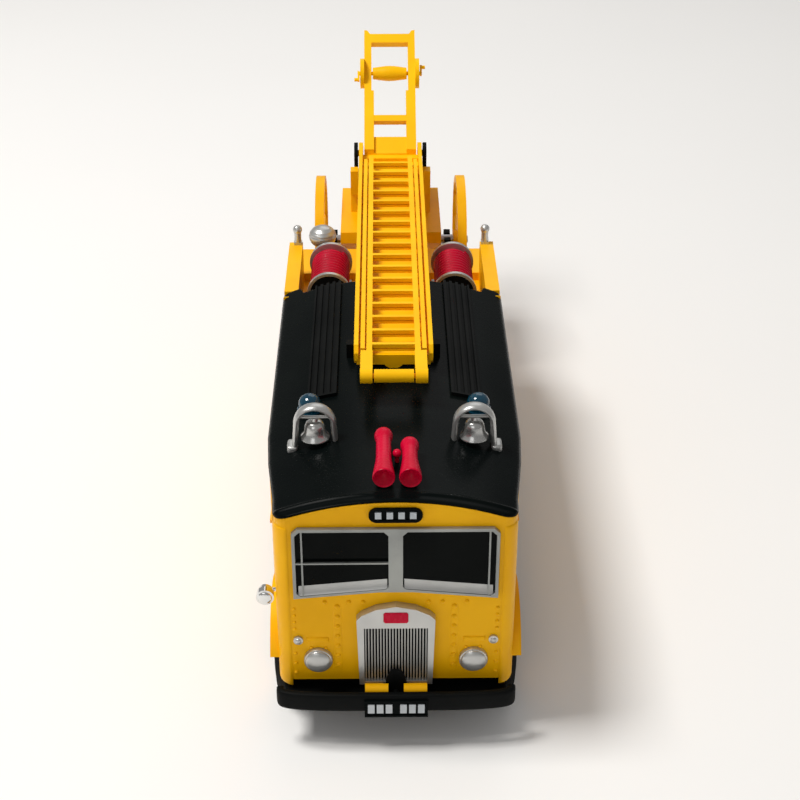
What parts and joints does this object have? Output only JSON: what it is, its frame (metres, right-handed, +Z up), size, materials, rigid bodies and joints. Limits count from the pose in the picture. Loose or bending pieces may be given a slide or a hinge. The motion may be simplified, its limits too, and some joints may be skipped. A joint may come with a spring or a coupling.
{
  "type": "wheeled-escape fire engine scale model",
  "caption": "Yellow 1:50 scale model of a 1950s wheeled-escape fire engine: black crew-cab roof, bells, twin red horns, two hose reels, three-section ladder on its two-wheeled carriage.",
  "frame": {"origin": "middle of the overall box in plan, at wheel-contact height", "axes": "+Z up, +Y towards the rear, the vehicle faces -Y, +X towards the vehicle's left (nearside)"},
  "size_m": [0.0503, 0.1805, 0.076],
  "materials": {
    "yellow_paint": "gloss",
    "wheel_yellow": "gloss",
    "ladder_yellow": "satin",
    "black_gloss": "gloss",
    "black_satin": "satin",
    "silver_paint": "satin",
    "chrome": "polished",
    "bell_metal": "polished",
    "steel": "satin",
    "clear": "gloss",
    "white_print": "satin",
    "red_gloss": "gloss",
    "hose_red": "satin",
    "blue_clear": "gloss",
    "red_clear": "gloss",
    "tyre": "matte"
  },
  "bodies": {
    "vehicle": {"chassis_base": "black_satin", "chassis_screws": "steel", "body_shell": "yellow_paint", "cab_roof": "black_gloss", "walkways": "black_satin", "cab_interior": "black_satin", "steering_wheel": "black_satin", "windscreen_frame": "silver_paint", "windscreen_glass": "clear", "side_windows": "clear", "sign_box": "black_gloss", "sign_inlay": "white_print", "front_bumper": "black_gloss", "number_plate": "black_gloss", "plate_tiles": "white_print", "dumb_irons": "yellow_paint", "starting_handle": "black_satin", "radiator_shell": "silver_paint", "radiator_grille": "silver_paint", "radiator_badge": "red_gloss", "headlamps": "silver_paint", "sidelamps": "silver_paint", "front_trims": "yellow_paint", "spot_lamp": "chrome", "pump_inlet": "silver_paint", "beacon_bases": "blue_clear", "beacon_domes": "blue_clear", "bell_brackets": "silver_paint", "horns": "red_gloss", "horn_compressor": "red_gloss", "ladder_rest": "black_satin", "reel_cradles": "silver_paint", "searchlight": "silver_paint", "rail_handles": "silver_paint", "escape_brackets": "black_satin", "rear_lamps": "red_clear"},
    "front_axle_set": {"front_axle": "steel", "front_wheels": "wheel_yellow", "front_tyres": "tyre"},
    "rear_axle_set": {"rear_axle": "steel", "rear_wheels": "wheel_yellow", "rear_tyres": "tyre"},
    "reel_left_set": {"reel_left": "silver_paint", "hose_left": "hose_red"},
    "reel_right_set": {"reel_right": "silver_paint", "hose_right": "hose_red"},
    "bell_left_set": {"bell_left": "bell_metal"},
    "bell_right_set": {"bell_right": "bell_metal"},
    "carriage": {"carriage_frame": "wheel_yellow", "trunnion_brackets": "black_satin", "carriage_axle": "steel"},
    "carriage_wheel_left_set": {"carriage_wheel_left": "wheel_yellow"},
    "carriage_wheel_right_set": {"carriage_wheel_right": "wheel_yellow"},
    "ladder_main_set": {"ladder_main": "ladder_yellow", "tail_frame": "ladder_yellow", "gear_cases": "ladder_yellow"},
    "ladder_middle_set": {"ladder_middle": "ladder_yellow"},
    "ladder_top_set": {"ladder_top": "ladder_yellow"},
    "head_roller_set": {"head_roller": "ladder_yellow"},
    "winch_set": {"winch_drum": "ladder_yellow"}
  },
  "joints": [
    {"name": "front_wheels_roll", "type": "hinge", "parent": "vehicle", "child": "front_axle_set", "pos_m": [0, -0.07, 0.01], "axis": [1, 0, 0], "continuous": true},
    {"name": "rear_wheels_roll", "type": "hinge", "parent": "vehicle", "child": "rear_axle_set", "pos_m": [0, 0.012, 0.01], "axis": [1, 0, 0], "continuous": true},
    {"name": "hose_reel_left_turn", "type": "hinge", "parent": "vehicle", "child": "reel_left_set", "pos_m": [0.0137, 0.012, 0.045], "axis": [0, 1, 0], "continuous": true},
    {"name": "hose_reel_right_turn", "type": "hinge", "parent": "vehicle", "child": "reel_right_set", "pos_m": [-0.0137, 0.012, 0.045], "axis": [0, 1, 0], "continuous": true},
    {"name": "bell_left_swing", "type": "hinge", "parent": "vehicle", "child": "bell_left_set", "pos_m": [0.0144, -0.062, 0.054], "axis": [1, 0, 0], "range_deg": [-15, 15]},
    {"name": "bell_right_swing", "type": "hinge", "parent": "vehicle", "child": "bell_right_set", "pos_m": [-0.0144, -0.062, 0.054], "axis": [1, 0, 0], "range_deg": [-15, 15]},
    {"name": "escape_lift_off", "type": "slide", "parent": "vehicle", "child": "carriage", "axis": [0, 0, 1], "range_m": [0, 0.05]},
    {"name": "carriage_wheel_left_roll", "type": "hinge", "parent": "carriage", "child": "carriage_wheel_left_set", "pos_m": [0.0173, 0.059, 0.032], "axis": [1, 0, 0], "continuous": true},
    {"name": "carriage_wheel_right_roll", "type": "hinge", "parent": "carriage", "child": "carriage_wheel_right_set", "pos_m": [-0.0173, 0.059, 0.032], "axis": [1, 0, 0], "continuous": true},
    {"name": "ladder_elevate", "type": "hinge", "parent": "carriage", "child": "ladder_main_set", "pos_m": [0, 0.0633, 0.0535], "axis": [-1, 0, 0], "range_deg": [0, 60]},
    {"name": "ladder_middle_extend", "type": "slide", "parent": "ladder_main_set", "child": "ladder_middle_set", "axis": [0, -1, 0], "range_m": [0, 0.055]},
    {"name": "ladder_top_extend", "type": "slide", "parent": "ladder_middle_set", "child": "ladder_top_set", "axis": [0, -1, 0], "range_m": [0, 0.055]},
    {"name": "head_roller_turn", "type": "hinge", "parent": "ladder_top_set", "child": "head_roller_set", "pos_m": [0, -0.051, 0.0561], "axis": [1, 0, 0], "continuous": true},
    {"name": "winch_turn", "type": "hinge", "parent": "ladder_main_set", "child": "winch_set", "pos_m": [0, 0.08065, 0.0678], "axis": [-1, 0, 0], "range_deg": [0, 1850]}
  ],
  "couplings": [
    {"joint": "ladder_top_extend", "follows": "ladder_middle_extend", "ratio": 1}
  ]
}
